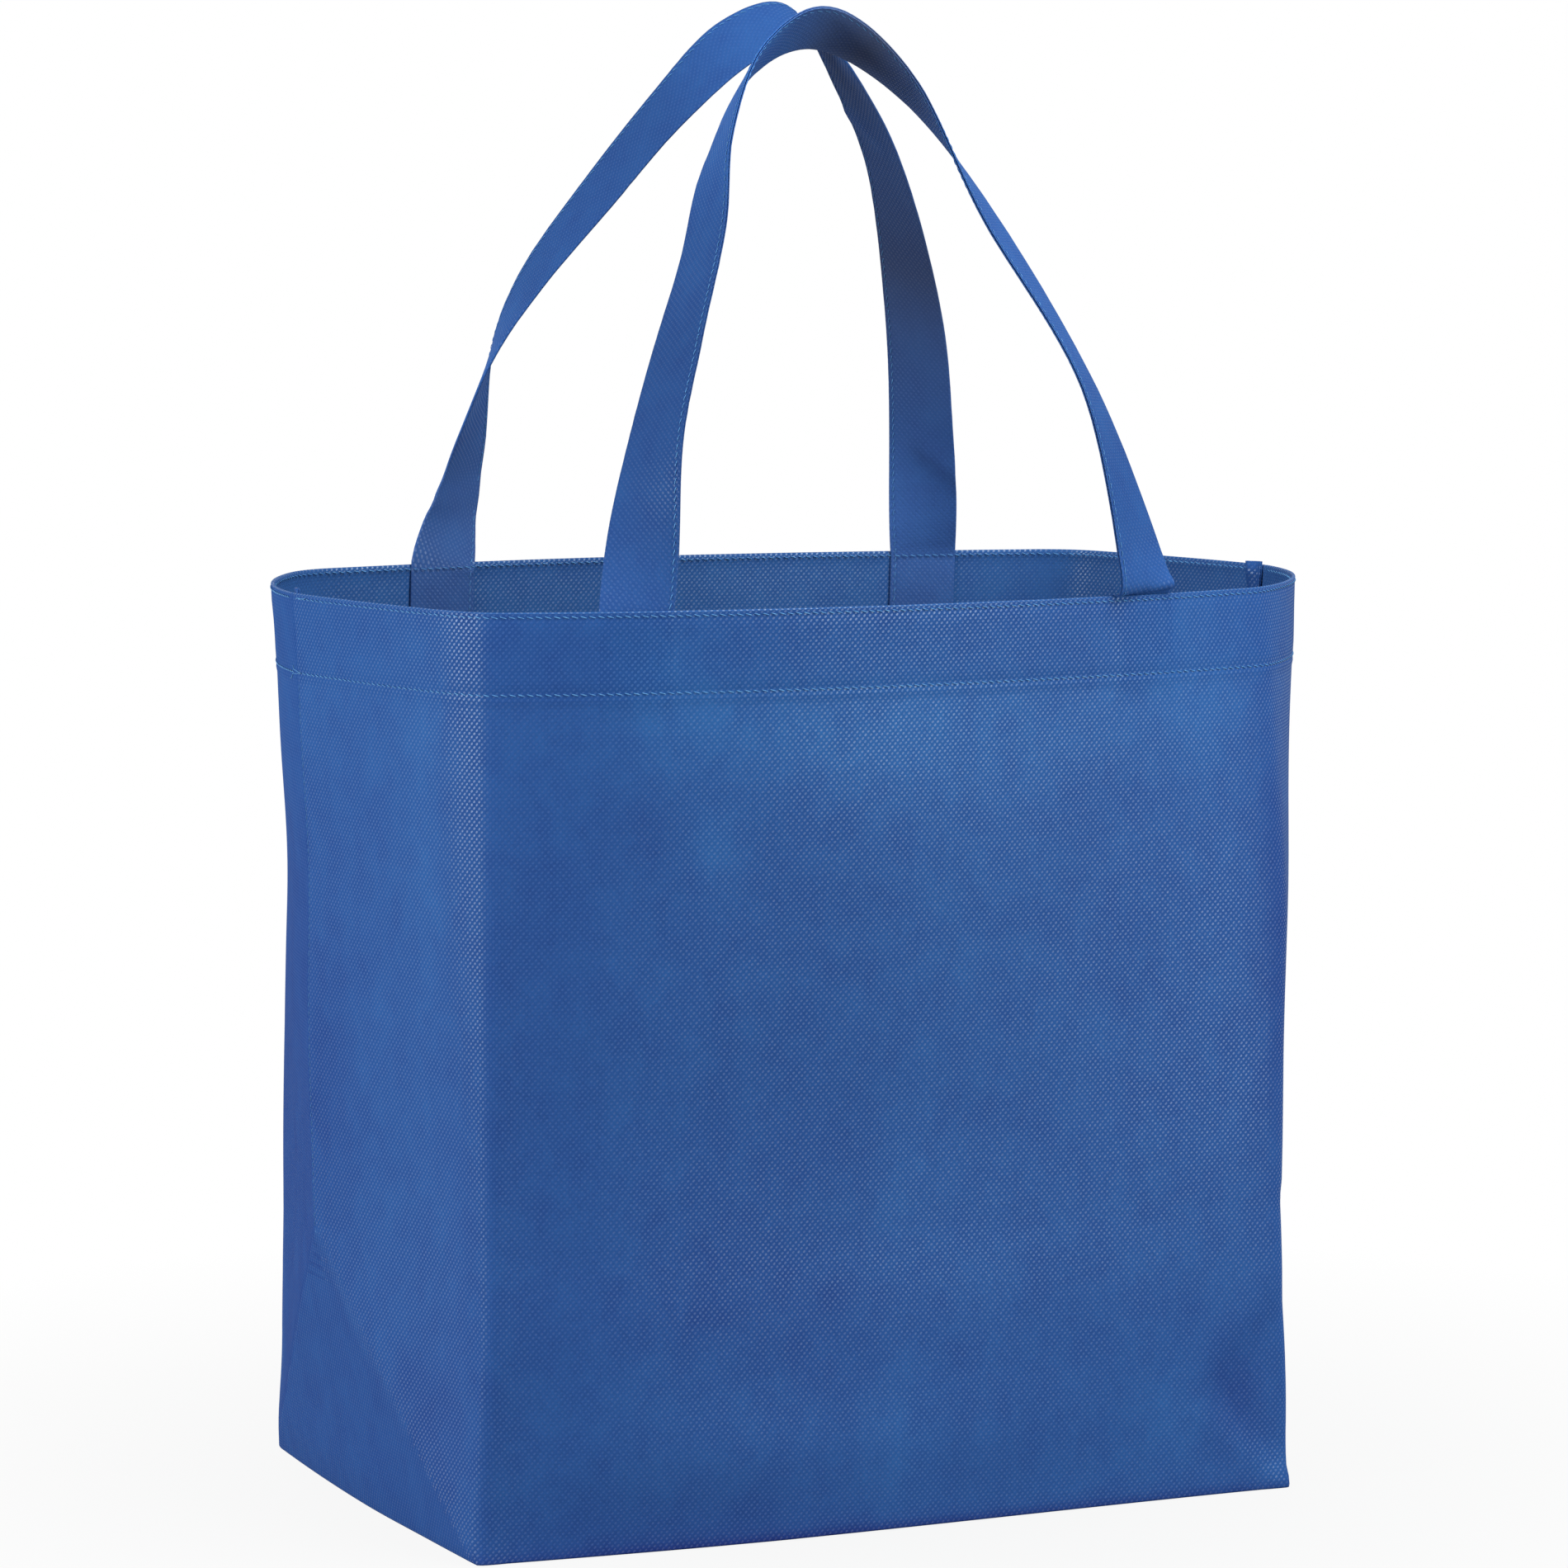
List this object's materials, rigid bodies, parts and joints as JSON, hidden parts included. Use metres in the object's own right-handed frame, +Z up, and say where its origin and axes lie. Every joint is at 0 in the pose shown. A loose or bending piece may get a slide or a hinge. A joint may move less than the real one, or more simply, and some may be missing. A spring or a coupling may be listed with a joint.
{
  "type": "non-woven tote bag",
  "caption": "Open-top shopping tote of embossed non-woven fabric with a flat gusseted bottom, a stitched hem and two long strap handles.",
  "frame": {"origin": "on the floor under the middle of the bag's box: the base of the bounding box, at its centre", "axes": "+Z up from the bottom to the rim and handles, -Y out of the front panel, +X to the bag's right seen from the front"},
  "size_m": [0.38, 0.2352, 0.5279],
  "materials": {
    "bag_body": "royal blue spunbond non-woven polypropylene with a diamond grid of embossed dots, dull with a slight sheen",
    "front_handle": "the same royal blue non-woven, folded and stitched along one edge",
    "back_handle": "the same royal blue non-woven, folded and stitched along one edge"
  },
  "bodies": {
    "root": {"bag_body": "bag_body", "front_handle": "front_handle", "back_handle": "back_handle"}
  },
  "joints": []
}
